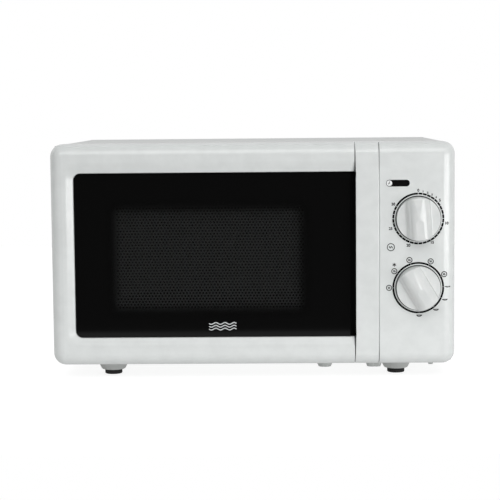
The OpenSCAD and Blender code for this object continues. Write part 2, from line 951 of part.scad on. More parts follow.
door_frame();
door_window();
door_handle();
door_plate();
door_choke_cover();
door_inner_window();
door_bushes();
door_hook();
door_hook_spring();
door_hinges();
control_panel();
timer_knob();
timer_shaft();
power_knob();
power_shaft();
timer_unit();
timer_bell();
cavity_front_plate();
cavity_floor();
cavity_ceiling();
cavity_left_wall();
cavity_right_wall();
cavity_back_wall();
outer_cover();
base_plate();
rear_panel();
rear_spacers();
cover_screws();
cord_gland();
foot_cups();
foot_pads();
latch_board();
door_switches();
upper_plunger();
lower_plungers();
waveguide();
waveguide_cover();
magnetron_yoke();
magnetron_anode();
magnetron_fins();
magnetron_magnets();
transformer_core();
transformer_windings();
capacitor();
capacitor_clamp();
diode();
fan_shroud();
fan_motor();
fan_blade();
oven_lamp();
lamp_holder();
thermal_cutouts();
filter_board();
turntable_motor();
turntable_coupler();
roller_ring();
roller_wheel(0);  // roller_wheel_1
roller_wheel(1);  // roller_wheel_2
roller_wheel(2);  // roller_wheel_3
glass_tray();
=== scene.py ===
# %% [markdown]
# # A compact microwave oven, dressed around its CAD frame
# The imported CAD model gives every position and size. This script gives the oven its looks: it
# keeps the CAD nodes whose shape is right, and replaces the others with finer pieces in the
# same places. It starts by loading the frame and keeping the box that nothing may outgrow.

# %% Load the frame
import math

import bmesh
import bpy
from mathutils import Matrix, Vector


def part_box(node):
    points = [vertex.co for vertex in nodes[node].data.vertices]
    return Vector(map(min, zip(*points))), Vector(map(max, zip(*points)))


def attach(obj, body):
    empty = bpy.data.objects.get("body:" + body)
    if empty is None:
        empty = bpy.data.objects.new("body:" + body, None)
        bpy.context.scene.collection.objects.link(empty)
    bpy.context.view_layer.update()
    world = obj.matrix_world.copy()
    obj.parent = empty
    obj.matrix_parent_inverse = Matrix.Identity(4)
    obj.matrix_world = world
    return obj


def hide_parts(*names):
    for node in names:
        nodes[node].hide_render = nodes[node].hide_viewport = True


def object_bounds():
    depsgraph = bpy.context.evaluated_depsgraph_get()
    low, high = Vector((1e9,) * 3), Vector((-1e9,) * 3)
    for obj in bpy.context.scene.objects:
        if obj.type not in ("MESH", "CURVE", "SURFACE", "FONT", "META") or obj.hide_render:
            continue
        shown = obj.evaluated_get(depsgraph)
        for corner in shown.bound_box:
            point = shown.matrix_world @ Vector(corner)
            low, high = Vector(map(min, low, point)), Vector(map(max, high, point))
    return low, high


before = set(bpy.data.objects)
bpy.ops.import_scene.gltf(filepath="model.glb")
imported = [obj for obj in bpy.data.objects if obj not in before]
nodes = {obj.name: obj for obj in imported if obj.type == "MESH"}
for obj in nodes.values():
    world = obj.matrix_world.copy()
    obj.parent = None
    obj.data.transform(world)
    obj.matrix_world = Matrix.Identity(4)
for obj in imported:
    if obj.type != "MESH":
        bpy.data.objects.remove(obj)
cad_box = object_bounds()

MM = 0.001

# %% [markdown]
# ## Main measures
# Positions come from the boxes of the CAD nodes. The front of the oven is one moulded face cut
# into three: the door's frame, the handle bar and the control panel.

# %% Main measures
frame_low, frame_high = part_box("door_frame")
handle_low, handle_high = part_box("door_handle")
panel_low, panel_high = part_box("control_panel")
pane_low, pane_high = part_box("door_window")
plate_low, plate_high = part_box("door_plate")
FACE_Y = frame_low.y
DOOR_BACK = frame_high.y
BOTTOM, TOP = frame_low.z, frame_high.z
LEFT, RIGHT = frame_low.x, panel_high.x
SEAM = frame_high.x
LIP = 6 * MM
WINDOW_LEFT = pane_low.x + LIP
WINDOW_LOW, WINDOW_HIGH = pane_low.z + LIP, pane_high.z - LIP
PANE_Y = pane_low.y
CORNER_R = 13.5 * MM
WINDOW_R = 7.5 * MM
ROLL = 13.3 * MM
print("front: %.1f x %.1f mm" % ((RIGHT - LEFT) / MM, (TOP - BOTTOM) / MM))

# %% [markdown]
# ## Two helpers for materials
# A colour is written as the hex value that a screen shows, and Blender wants it linear. Every
# material is a small node tree, so one function adds a node with its settings and its links.

# %% Colour and node helpers
def linear(hex_colour):
    """The linear RGBA of an sRGB hex colour."""
    channels = [int(hex_colour[i:i + 2], 16) / 255 for i in (1, 3, 5)]
    return [c / 12.92 if c <= 0.04045 else ((c + 0.055) / 1.055) ** 2.4 for c in channels] + [1]


def add(tree, kind, inputs=None, **settings):
    """Adds a node; inputs takes values or the output sockets of other nodes."""
    node = tree.nodes.new("ShaderNode" + kind)
    for key, value in settings.items():
        setattr(node, key, value)
    for key, value in (inputs or {}).items():
        if isinstance(value, bpy.types.NodeSocket):
            tree.links.new(value, node.inputs[key])
        else:
            node.inputs[key].default_value = value
    return node


def surface(name, colour, rough, metallic=0.0, ior=None):
    """A material with a Principled shader, and the object coordinates that patterns use."""
    material = bpy.data.materials.new(name)
    material.use_nodes = True
    tree = material.node_tree
    shader = tree.nodes["Principled BSDF"]
    shader.inputs["Base Color"].default_value = linear(colour)
    shader.inputs["Roughness"].default_value = rough
    shader.inputs["Metallic"].default_value = metallic
    if ior:
        shader.inputs["IOR"].default_value = ior
    place = add(tree, "TexCoord").outputs["Object"]
    return material, tree, shader, place


def mottle(tree, shader, place, dark, light, grain, detail=3.0):
    """Varies the base colour between two hex colours, over a grain size in metres."""
    noise = add(tree, "TexNoise", {"Vector": place, "Scale": 1 / grain, "Detail": detail})
    ramp = add(tree, "ValToRGB", {"Fac": noise.outputs["Fac"]})
    ramp.color_ramp.elements[0].position = 0.35
    ramp.color_ramp.elements[0].color = linear(dark)
    ramp.color_ramp.elements[1].position = 0.65
    ramp.color_ramp.elements[1].color = linear(light)
    tree.links.new(ramp.outputs["Color"], shader.inputs["Base Color"])
    return noise


def relief(tree, shader, height, depth):
    """Bumps the surface by a height socket, to a depth in metres."""
    bump = add(tree, "Bump", {"Height": height, "Distance": depth, "Strength": 1.0})
    tree.links.new(bump.outputs["Normal"], shader.inputs["Normal"])


def vary_rough(tree, shader, value, low, high):
    """Maps a pattern's value to a range of roughness."""
    spread = add(tree, "MapRange", {"Value": value, "To Min": low, "To Max": high})
    tree.links.new(spread.outputs["Result"], shader.inputs["Roughness"])


print("helpers ready")

# %% [markdown]
# ## Moulded plastics
# The front is injection-moulded ABS from a polished tool: nearly white, glossy, with the very
# soft waviness that moulding leaves. A low bump over centimetres bends the reflections a
# little, and a finer one over half a millimetre breaks them up. The dark and natural plastics
# inside come from a textured tool, so they are duller and grainier.

# %% Glossy and textured plastics
def moulded(name, dark, light, rough, wave=14 * MM, grain=0.6 * MM, depth=0.004 * MM, ior=1.53):
    """Moulded plastic: faint colour drift, soft waviness and a fine grain."""
    material, tree, shader, place = surface(name, light, rough, ior=ior)
    mottle(tree, shader, place, dark, light, wave)
    fine = add(tree, "TexNoise", {"Vector": place, "Scale": 1 / grain, "Detail": 2.0})
    vary_rough(tree, shader, fine.outputs["Fac"], rough * 0.85, rough * 1.15)
    relief(tree, shader, fine.outputs["Fac"], depth)
    return material


white_abs = moulded("glossy_white_ABS", "#E4E7E6", "#E9ECEB", 0.2)
knob_abs = moulded("satin_white_ABS", "#DFE2E1", "#E6E8E7", 0.22)
foot_plastic = moulded("grey_polypropylene", "#B4B6B4", "#C0C2C0", 0.42, depth=0.02 * MM)
# The dark grey ABS also lines the knob wells, where its colour is painted shade for the gaps around
# the knobs.
grey_plastic_and_well_shade = moulded("dark_grey_ABS_and_well_shade", "#2B2C2E", "#343537", 0.5, depth=0.03 * MM)
black_plastic = moulded("black_nylon", "#101011", "#191919", 0.5, depth=0.03 * MM)
red_plastic = moulded("red_acetal", "#8E1F16", "#A5281D", 0.4, depth=0.02 * MM)
nylon = moulded("natural_nylon", "#D9D2BF", "#E4DECC", 0.45, depth=0.03 * MM)
rubber = moulded("black_rubber", "#0E0E0E", "#191918", 0.8, grain=0.9 * MM, depth=0.08 * MM)
print("plastics:", white_abs.name, knob_abs.name, rubber.name)

# %% [markdown]
# ## Painted and bare steel
# The cover is powder-coated: a fine orange peel about a millimetre across. The cavity's grey
# paint is smoother and faintly speckled, and the base has a light grey coat. The rear is
# galvanised, and zinc freezes in flat crystals, the spangle, each of which reflects a little
# differently. A Voronoi pattern has just such cells.

# %% Steel finishes
def powder_coat(name, dark, light, rough, grain):
    """Powder coat or stoved paint on sheet steel, with a fine orange peel."""
    material, tree, shader, place = surface(name, light, rough, ior=1.5)
    mottle(tree, shader, place, dark, light, 3 * MM, detail=6.0)
    peel = add(tree, "TexNoise", {"Vector": place, "Scale": 1 / grain, "Detail": 1.0})
    relief(tree, shader, peel.outputs["Fac"], 0.03 * MM)
    vary_rough(tree, shader, peel.outputs["Fac"], rough * 0.9, rough * 1.15)
    return material


def galvanised(name, dark, light, spangle):
    """Hot-dipped zinc on steel, with its flat crystals."""
    material, tree, shader, place = surface(name, light, 0.4, metallic=1.0)
    cells = add(tree, "TexVoronoi", {"Vector": place, "Scale": 1 / spangle})
    ramp = add(tree, "ValToRGB", {"Fac": cells.outputs["Color"]})
    ramp.color_ramp.elements[0].color = linear(dark)
    ramp.color_ramp.elements[1].color = linear(light)
    tree.links.new(ramp.outputs["Color"], shader.inputs["Base Color"])
    vary_rough(tree, shader, cells.outputs["Color"], 0.32, 0.5)
    return material


def drawn_metal(name, dark, light, rough, stretch, line=0.4 * MM):
    """Bare metal with fine lines along one direction, as rolling or brushing leaves."""
    material, tree, shader, place = surface(name, light, rough, metallic=1.0)
    longer = add(tree, "Mapping", {"Vector": place, "Scale": stretch})
    noise = mottle(tree, shader, longer.outputs["Vector"], dark, light, line)
    vary_rough(tree, shader, noise.outputs["Fac"], rough * 0.8, rough * 1.25)
    return material


white_coat = powder_coat("white_powder_coat", "#DDE0DF", "#E4E6E5", 0.42, 1.1 * MM)
cavity_paint = powder_coat("grey_cavity_paint", "#B9BCBA", "#C6C9C7", 0.35, 0.8 * MM)
zinc = galvanised("galvanised_steel", "#9DA3A6", "#C3C8CA", 7 * MM)
base_coat = powder_coat("light_grey_base_coat", "#B9BCBA", "#C4C7C5", 0.5, 1.2 * MM)
bright_steel = drawn_metal("bright_steel", "#A5A9AC", "#C9CCCE", 0.28, (1, 1, 0.08))
fin_aluminium = drawn_metal("rolled_aluminium", "#C2C5C7", "#DADCDD", 0.3, (1, 0.08, 1))
can_aluminium = drawn_metal("drawn_aluminium", "#AEB2B4", "#C9CCCE", 0.34, (1, 0.05, 1))
copper = drawn_metal("enamelled_copper_wire", "#7E3F1E", "#B8683A", 0.35, (0.05, 0.05, 1),
                     line=1 * MM)
core_steel = drawn_metal("varnished_laminations", "#26272A", "#43454A", 0.5, (0.04, 1, 0.04),
                         line=1 * MM)
ferrite = moulded("sintered_ferrite", "#1C1C1E", "#2A2A2D", 0.6, depth=0.05 * MM)
mica = moulded("pressed_mica", "#9C8B6A", "#BBAA88", 0.45, wave=4 * MM, depth=0.03 * MM)
board = moulded("green_circuit_board", "#0E3B20", "#155030", 0.35, wave=3 * MM)
print("steels:", white_coat.name, cavity_paint.name, zinc.name)

# %% [markdown]
# ## Glass
# The tray is pressed soda glass, faintly green and a little wavy. It is thin, so a Principled
# shader with transmission is enough. The lamp's bulb uses the same function with clear glass.

# %% Clear glass
def clear_glass(name, tint, ior, wave):
    """Pressed or blown glass with a slight waviness."""
    material, tree, shader, place = surface(name, tint, 0.04, ior=ior)
    shader.inputs["Transmission Weight"].default_value = 0.92
    noise = add(tree, "TexNoise", {"Vector": place, "Scale": 1 / wave, "Detail": 1.0})
    relief(tree, shader, noise.outputs["Fac"], 0.02 * MM)
    return material


tray_glass = clear_glass("pressed_soda_glass", "#DCEBE6", 1.52, 9 * MM)
lamp_glass = clear_glass("blown_lamp_glass", "#F2EFE4", 1.5, 12 * MM)
print("glass:", tray_glass.name, lamp_glass.name)

# %% [markdown]
# ## The door's window
# The pane is a sheet of acrylic, printed black from behind and left clear in the middle, with
# an edge of fading dots. The print and the clear part share one glossy face, so one material
# holds both: its alpha falls in the clear zone, and a smooth step gives the fading edge. The
# zone's limits are in the object's own millimetres.

# %% Window material
SCREEN_X = (-152.5 * MM, 57 * MM)
SCREEN_Z = (75.5 * MM, 191 * MM)
FADE = 9 * MM


def soft_band(tree, value, low, high):
    """1 between two limits and 0 outside them, with a soft edge."""
    up = add(tree, "MapRange", {"Value": value, "From Min": low - FADE, "From Max": low + FADE},
             interpolation_type="SMOOTHSTEP")
    down = add(tree, "MapRange", {"Value": value, "From Min": high + FADE, "From Max": high - FADE},
               interpolation_type="SMOOTHSTEP")
    return add(tree, "Math", {0: up.outputs["Result"], 1: down.outputs["Result"]},
               operation="MULTIPLY").outputs["Value"]


def acrylic_pane():
    """Black-printed acrylic whose middle lets the screen behind it show."""
    material, tree, shader, place = surface("black_printed_acrylic", "#0D0D0D", 0.06, ior=1.3)
    axes = add(tree, "SeparateXYZ", {"Vector": place})
    across = soft_band(tree, axes.outputs["X"], *SCREEN_X)
    upright = soft_band(tree, axes.outputs["Z"], *SCREEN_Z)
    zone = add(tree, "Math", {0: across, 1: upright}, operation="MULTIPLY")
    alpha = add(tree, "MapRange", {"Value": zone.outputs["Value"], "To Min": 1.0, "To Max": 0.5})
    tree.links.new(alpha.outputs["Result"], shader.inputs["Alpha"])
    noise = add(tree, "TexNoise", {"Vector": place, "Scale": 1 / (30 * MM), "Detail": 1.0})
    relief(tree, shader, noise.outputs["Fac"], 0.01 * MM)
    return material


pane_acrylic = acrylic_pane()
film = moulded("clear_window_film", "#101111", "#141515", 0.15)
film.node_tree.nodes["Principled BSDF"].inputs["Alpha"].default_value = 0.25
screen_paint = powder_coat("screen_paint", "#8E9190", "#9A9D9C", 0.45, 0.8 * MM)
print("window: fading over", round(2 * FADE / MM), "mm")

# %% [markdown]
# ## Printing inks
# The scales are screen-printed in black, and the mark on the glass in light grey. Ink is matt
# and slightly uneven.

# %% Inks
black_ink = moulded("black_printing_ink", "#050505", "#0A0A0A", 0.85, wave=2 * MM, ior=1.2)
grey_ink = moulded("grey_printing_ink", "#2A2C2E", "#36383A", 0.8, wave=2 * MM, ior=1.25)
pale_ink = moulded("pale_printing_ink", "#C4C7C8", "#D2D4D5", 0.5, wave=2 * MM)
white_ink = moulded("white_printing_ink", "#F0F2F2", "#F6F7F7", 0.6, wave=2 * MM)
print("inks:", black_ink.name, grey_ink.name, pale_ink.name)

# %% [markdown]
# ## Finishes for the CAD nodes that stay
# Most inner parts already have the right shape. Each gets the finish of its real part.

# %% Materials for CAD nodes
FINISHES = {
    white_coat: ["outer_cover"],
    cavity_paint: ["cavity_front_plate", "cavity_floor", "cavity_ceiling", "cavity_left_wall",
                   "cavity_right_wall", "cavity_back_wall"],
    base_coat: ["base_plate"],
    zinc: ["door_hinges", "rear_panel", "waveguide", "magnetron_yoke",
           "capacitor_clamp", "turntable_motor", "timer_bell"],
    bright_steel: ["door_hook_spring", "cover_screws"],
    core_steel: ["transformer_core", "fan_motor"],
    copper: ["magnetron_anode", "transformer_windings"],
    fin_aluminium: ["magnetron_fins"],
    can_aluminium: ["capacitor"],
    ferrite: ["magnetron_magnets"],
    mica: ["waveguide_cover"],
    board: ["filter_board"],
    lamp_glass: ["oven_lamp"],
    tray_glass: ["glass_tray"],
    grey_plastic_and_well_shade: ["door_choke_cover", "timer_unit"],
    black_plastic: ["rear_spacers", "cord_gland", "diode", "thermal_cutouts", "door_switches"],
    red_plastic: ["upper_plunger", "lower_plungers"],
    foot_plastic: ["foot_cups"],
    rubber: ["foot_pads"],
    film: ["door_inner_window"],
    screen_paint: ["door_plate"],
    pane_acrylic: ["door_window"],
    white_abs: ["door_frame", "door_handle", "control_panel"],
    knob_abs: ["timer_knob", "power_knob"],
    nylon: ["door_bushes", "door_hook", "timer_shaft", "power_shaft", "latch_board",
            "fan_shroud", "fan_blade", "lamp_holder", "turntable_coupler", "roller_ring",
            "roller_wheel_1", "roller_wheel_2", "roller_wheel_3"],
}
for finish, names in FINISHES.items():
    for name in names:
        nodes[name].data.materials.clear()
        nodes[name].data.materials.append(finish)
unfinished = set(nodes) - {n for names in FINISHES.values() for n in names}
print("CAD nodes without a finish:", sorted(unfinished))

# %% [markdown]
# ## Helpers for shapes
# A piece starts as a bmesh, becomes an object at the origin, takes its modifiers, and rides on
# a body of the frame. Modifiers are applied at once, so that the normals can be sharpened by
# angle on the final mesh.

# %% Making and finishing a piece
def modify(obj, kind, **settings):
    """Adds a modifier with its settings, and replaces the mesh with what it makes."""
    modifier = obj.modifiers.new("step", kind)
    for key, value in settings.items():
        setattr(modifier, key, value)
    bpy.context.view_layer.update()
    evaluated = obj.evaluated_get(bpy.context.evaluated_depsgraph_get())
    mesh = bpy.data.meshes.new_from_object(evaluated)
    obj.modifiers.clear()
    obj.data = mesh


def plain_object(bm, name, clean=True):
    """Turns a bmesh into an object at the origin."""
    if clean:
        bmesh.ops.remove_doubles(bm, verts=bm.verts, dist=0.002 * MM)
        bmesh.ops.recalc_face_normals(bm, faces=bm.faces)
    mesh = bpy.data.meshes.new(name)
    bm.to_mesh(mesh)
    bm.free()
    obj = bpy.data.objects.new(name, mesh)
    bpy.context.scene.collection.objects.link(obj)
    return obj


def carve(obj, bm):
    """Cuts the shape of a second bmesh out of an object."""
    cutter = plain_object(bm, obj.name + "_cutter")
    modify(obj, "BOOLEAN", operation="DIFFERENCE", solver="EXACT", object=cutter)
    bpy.data.objects.remove(cutter)


def thicken(obj, wall):
    """Gives an open skin its wall, on the inner side."""
    modify(obj, "SOLIDIFY", thickness=wall, offset=-1, use_even_offset=True)


def soften(obj, width, angle=55, segments=3):
    """Rounds the edges that are sharper than an angle."""
    modify(obj, "BEVEL", width=width, segments=segments, limit_method="ANGLE",
           angle_limit=math.radians(angle), harden_normals=True)


def dress(obj, material, body, replaced=(), sharp=40):
    """Gives a piece its finish and its shading, and lets it ride on a body."""
    obj.data.materials.clear()
    obj.data.materials.append(material)
    obj.data.shade_smooth()
    obj.data.set_sharp_from_angle(angle=math.radians(sharp))
    modify(obj, "WEIGHTED_NORMAL", keep_sharp=True)
    if replaced:
        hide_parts(*replaced)
    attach(obj, body)
    print(obj.name, len(obj.data.polygons), "faces on", body)


print("shape helpers ready")

# %% [markdown]
# Two basic forms come back everywhere: a flat face with round corners, made from a grid of one
# square whose corner vertices are bevelled, and a lathed form, made by spinning a profile.

# %% Rounded face and lathe
def rounded_face(bm, x, z, y, radius=0.0, left_only=False, segments=8):
    """An upright face between two ranges, facing the front, with round corners."""
    before = set(bm.faces)
    verts = bmesh.ops.create_grid(bm, x_segments=1, y_segments=1, size=0.5)["verts"]
    place = Matrix.Translation(((x[0] + x[1]) / 2, y, (z[0] + z[1]) / 2))
    size = Matrix.Diagonal((x[1] - x[0], z[1] - z[0], 1, 1))
    bmesh.ops.transform(bm, verts=verts, matrix=place @ Matrix.Rotation(math.pi / 2, 4, "X") @ size)
    if radius:
        middle = (x[0] + x[1]) / 2
        corners = [v for v in verts if not left_only or v.co.x < middle]
        bmesh.ops.bevel(bm, geom=corners, offset=radius, affect="VERTICES", segments=segments,
                        profile=0.5, material=-1)
    return (set(bm.faces) - before).pop()


def draw_out(bm, edges, step):
    """Extrudes edges by a step, and returns the new verts and the new edges between them."""
    made = bmesh.ops.extrude_edge_only(bm, edges=edges)["geom"]
    verts = [g for g in made if isinstance(g, bmesh.types.BMVert)]
    bmesh.ops.translate(bm, verts=verts, vec=step)
    return verts, [e for e in made if isinstance(e, bmesh.types.BMEdge)
                   and all(v in verts for v in e.verts)]


def loose_ends(edges):
    """The two verts at which a chain of edges ends."""
    return [v for v in {v for e in edges for v in e.verts}
            if sum(e in edges for e in v.link_edges) == 1]


def lathe(bm, profile, centre, towards="Z", steps=64, closed=False):
    """Spins (radius, height) points; heights run up or to the front."""
    verts = [bm.verts.new((r, 0, h)) for r, h in profile]
    edges = [bm.edges.new(pair) for pair in zip(verts, verts[1:])]
    if closed:
        edges.append(bm.edges.new((verts[-1], verts[0])))
    before = set(bm.verts) - set(verts)
    bmesh.ops.spin(bm, geom=verts + edges, cent=(0, 0, 0), axis=(0, 0, 1), angle=math.tau,
                   steps=steps, use_merge=True)
    made = [v for v in bm.verts if v not in before]
    turn = {"Z": 0, "front": math.pi / 2}[towards]
    bmesh.ops.transform(bm, verts=made,
                        matrix=Matrix.Translation(centre) @ Matrix.Rotation(turn, 4, "X"))
    bmesh.ops.remove_doubles(bm, verts=made, dist=0.001 * MM)


print("basic forms ready")

# %% [markdown]
# ## Camera and studio
# The camera stands about 1.8 m in front of the oven, a little right of its middle and above its
# top, with a long lens, so the front is seen almost square on. It is rolled by half a degree.
# The oven stands on a pale light table before a white background. A large softbox hangs high
# in front, and a second one stands low at the right front: its reflection draws the bright
# strip along the panel's edge. The world is dark right in front of the oven, where a studio is
# unlit, so that the black window stays black, and its left side is a little brighter, where no
# lamp stands.

# %% Camera
CAMERA_AT = Vector((34.2, -1811.4, 295.1)) * MM
YAW, PITCH, TILT = 1.28, 5.26, -0.52
LENS = 110.0


def make_camera():
    """A camera aimed by its yaw to the left, its pitch down and its roll, in degrees."""
    camera = bpy.data.cameras.new("camera")
    camera.lens = LENS
    camera.sensor_width = 36.0
    obj = bpy.data.objects.new("camera", camera)
    bpy.context.scene.collection.objects.link(obj)
    turn = Matrix.Rotation(math.radians(YAW), 4, "Z")
    nod = Matrix.Rotation(math.radians(90 - PITCH), 4, "X")
    roll = Matrix.Rotation(math.radians(TILT), 4, "Z")
    obj.matrix_world = Matrix.Translation(CAMERA_AT) @ turn @ nod @ roll
    bpy.context.scene.camera = obj
    return obj


camera = make_camera()
print("camera at", tuple(round(c, 3) for c in camera.location))

# %% Floor, world and lights
def make_floor():
    """A pale light table just under the feet: opal plastic that glows faintly."""
    bm = bmesh.new()
    verts = bmesh.ops.create_grid(bm, x_segments=1, y_segments=1, size=1)["verts"]
    bmesh.ops.scale(bm, vec=(1.6, 1.0, 1), verts=verts)
    bmesh.ops.translate(bm, vec=(0, 0.48, cad_box[0][2] - 0.05 * MM), verts=verts)
    floor = plain_object(bm, "floor")
    material, tree, shader, place = surface("opal_light_table", "#8F8F8F", 0.7)
    mottle(tree, shader, place, "#8C8C8C", "#929292", 400 * MM)
    shader.inputs["Emission Color"].default_value = (1, 1, 1, 1)
    seen = add(tree, "LightPath").outputs["Is Camera Ray"]
    glow = add(tree, "MapRange", {"Value": seen, "To Min": 0.4, "To Max": 0.85})
    tree.links.new(glow.outputs["Result"], shader.inputs["Emission Strength"])
    floor.data.materials.append(material)


def area_light(name, at, aim, size, power):
    """A soft rectangular light aimed at a point."""
    light = bpy.data.lights.new(name, "AREA")
    light.shape = "RECTANGLE"
    light.size, light.size_y = size
    light.energy = power
    obj = bpy.data.objects.new(name, light)
    bpy.context.scene.collection.objects.link(obj)
    obj.matrix_world = (Matrix.Translation(at)
                        @ (Vector(aim) - Vector(at)).to_track_quat("-Z", "Y").to_matrix().to_4x4())


def make_world():
    """White behind and above, dim in front; the background itself is white."""
    world = bpy.data.worlds.new("studio")
    world.use_nodes = True
    tree = world.node_tree
    tree.nodes.clear()
    direction = add(tree, "SeparateXYZ", {"Vector": add(tree, "TexCoord").outputs["Generated"]})
    height = add(tree, "MapRange", {"Value": direction.outputs["Z"], "From Min": 0.1,
                                    "From Max": 0.8, "To Min": 0.24, "To Max": 0.42},
                 interpolation_type="SMOOTHSTEP")
    unlit = add(tree, "MapRange", {"Value": direction.outputs["Y"], "From Min": -0.97,
                                   "From Max": -0.86, "To Min": 0.05, "To Max": 1.0},
                interpolation_type="SMOOTHSTEP")
    behind = add(tree, "MapRange", {"Value": direction.outputs["Y"], "From Min": -0.1,
                                    "From Max": 0.5, "To Max": 0.75},
                 interpolation_type="SMOOTHSTEP")
    front = add(tree, "Math", {0: height.outputs["Result"], 1: unlit.outputs["Result"]},
                operation="MULTIPLY")
    both = add(tree, "Math", {0: front.outputs["Value"], 1: behind.outputs["Result"]},
               operation="MAXIMUM")
    side = add(tree, "MapRange", {"Value": direction.outputs["X"], "From Min": -0.9,
                                  "From Max": -0.2, "To Min": 1.15, "To Max": 1.0})
    power = add(tree, "Math", {0: both.outputs["Value"], 1: side.outputs["Result"]},
                operation="MULTIPLY")
    studio = add(tree, "Background", {"Color": (1, 1, 1, 1),
                                      "Strength": power.outputs["Value"]})
    white = add(tree, "Background", {"Color": (1, 1, 1, 1), "Strength": 1.0})
    seen = add(tree, "LightPath").outputs["Is Camera Ray"]
    mix = add(tree, "MixShader", {0: seen, 1: studio.outputs[0], 2: white.outputs[0]})
    add(tree, "OutputWorld", {"Surface": mix.outputs[0]})
    bpy.context.scene.world = world


make_floor()
make_world()
area_light("high_front", at=(0.1, -1.6, 1.3), aim=(0, -0.16, 0.14), size=(2.4, 1.0), power=16)
area_light("right_front", at=(1.32, -1.7, 0.08), aim=(0.2, -0.15, 0.12), size=(1.9, 0.3),
           power=13)
bpy.context.scene.view_settings.view_transform = "Standard"
print("studio ready")

# %% [markdown]
# ## The moulded front
# The door's frame, the handle bar and the control panel share one outline and one rounded
# edge, so each is a slice of the same moulding. The moulding is a rounded face whose rim is
# drawn back and whose front edge is bevelled. It is left open at the back, cut to its slice,
# and then thickened into a wall.

# %% The common moulding
def front_moulding(bm, back):
    """The whole front as an open skin, and its flat front face."""
    face = rounded_face(bm, (LEFT, RIGHT), (BOTTOM, TOP), FACE_Y, CORNER_R, segments=10)
    rim = list(face.edges)
    draw_out(bm, rim, (0, back - FACE_Y, 0))
    bmesh.ops.bevel(bm, geom=rim, offset=ROLL, affect="EDGES", segments=8, profile=0.5,
                    material=-1, clamp_overlap=False)
    return max(bm.faces, key=lambda f: f.calc_area())


def cut(bm, at, normal, fill=False):
    """Cuts along a plane, drops what lies on the side that the normal points to."""
    everything = bm.verts[:] + bm.edges[:] + bm.faces[:]
    made = bmesh.ops.bisect_plane(bm, geom=everything, plane_co=at, plane_no=normal,
                                  clear_outer=True, dist=0.001 * MM)["geom_cut"]
    if fill:
        edges = [g for g in made if isinstance(g, bmesh.types.BMEdge)]
        edges.append(bm.edges.new(loose_ends(edges)))
        bmesh.ops.holes_fill(bm, edges=edges)


def score(bm, at, normal):
    """Adds a line of vertices along a plane."""
    everything = bm.verts[:] + bm.edges[:] + bm.faces[:]
    bmesh.ops.bisect_plane(bm, geom=everything, plane_co=at, plane_no=normal, dist=0.001 * MM)


print("moulding: corners", CORNER_R / MM, "mm, edge", ROLL / MM, "mm")

# %% [markdown]
# ## The door's frame
# A bezel slopes from the flat of the front down to the window. It starts as a second rounded
# face, inset and pushed back, and is bridged to the front's outline. The crest between them is
# bevelled wide, so the slope begins softly. Next to the handle the corners above and below the
# window are cut to small facets, where fingers go in.

# %% Door frame
BEZEL = 9.6 * MM
DIP = 2.6 * MM
GRIP_FACET = 15 * MM
GRIP_INSET = 4 * MM
FRAME_WALL = 1.5 * MM


def bezel_ring(bm, front):
    """Swaps the front face for a band and a slope around the window's opening."""
    far = SEAM + 40 * MM
    hole = rounded_face(bm, (WINDOW_LEFT - BEZEL, far + BEZEL),
                        (WINDOW_LOW - BEZEL, WINDOW_HIGH + BEZEL), FACE_Y, WINDOW_R + BEZEL)
    slope = bmesh.ops.inset_region(bm, faces=[hole], thickness=BEZEL, depth=-DIP,
                                   use_even_offset=True, use_boundary=True)["faces"]
    lip = list(hole.edges)
    crest = list({e for f in slope for e in f.edges if e.is_boundary})
    outline = list(front.edges)
    bmesh.ops.delete(bm, geom=[hole, front], context="FACES_ONLY")
    bmesh.ops.bridge_loops(bm, edges=outline + crest)
    draw_out(bm, lip, (0, PANE_Y - FACE_Y - DIP - 0.1 * MM, 0))
    bmesh.ops.bevel(bm, geom=crest, offset=2.5 * MM, affect="EDGES", segments=6, profile=0.5,
                    material=-1)
    bmesh.ops.bevel(bm, geom=[e for e in lip if e.is_valid], offset=1.1 * MM, affect="EDGES",
                    segments=4, profile=0.5, material=-1)


def cut_facets(bm):
    """Presses in the corners of the bezel beside the handle."""
    for z, up in ((WINDOW_HIGH, 1), (WINDOW_LOW, -1)):
        start = Vector((SEAM - GRIP_INSET, 0, z))
        along = Vector((GRIP_INSET, 0, up * GRIP_FACET))
        normal = Vector((GRIP_FACET, 0, -up * GRIP_INSET)).normalized()
        score(bm, start, normal)
        score(bm, start, (0, 0, 1))
        for v in bm.verts:
            depth = (v.co - start).dot(normal)
            within = 0 <= (v.co.z - z) * up + 0.1 * MM <= along.length
            if depth > 0 and within and v.co.y < FACE_Y + DIP + 2 * MM:
                v.co.y = min(v.co.y + 1.3 * depth, PANE_Y)


def door_frame():
    """The white plastic frame of the door, open towards the handle."""
    bm = bmesh.new()
    front = front_moulding(bm, DOOR_BACK)
    bezel_ring(bm, front)
    cut(bm, (SEAM - 0.15 * MM, 0, 0), (1, 0, 0))
    cut_facets(bm)
    obj = plain_object(bm, "door_frame_moulding")
    thicken(obj, FRAME_WALL)
    return obj


frame_piece = door_frame()
soften(frame_piece, 0.6 * MM)
dress(frame_piece, white_abs, "door", ["door_frame"])

# %% [markdown]
# ## The handle bar
# The bar is the next slice of the moulding. It bows forward in the middle by 3 mm, and its
# left side is open between the two blocks that join it to the frame: that is where the fingers
# go. Level cuts along the bar give the vertices that the bow moves.

# %% Handle bar
BOW = FACE_Y - handle_low.y
MIDDLE_Z = (TOP + BOTTOM) / 2
GRIP_Z = (WINDOW_LOW + 1 * MM, WINDOW_HIGH - 1 * MM)
WEDGE = 0.9 * MM
BOW_FADE = 9 * MM
BOW_CUTS = 24
HANDLE_WALL = 2.6 * MM
NEAR = 0.01 * MM


def bow_at(z):
    """How far the bar stands forward at a height: an arc that is zero at both ends."""
    return BOW * (1 - ((z - MIDDLE_Z) / ((TOP - BOTTOM) / 2)) ** 2)


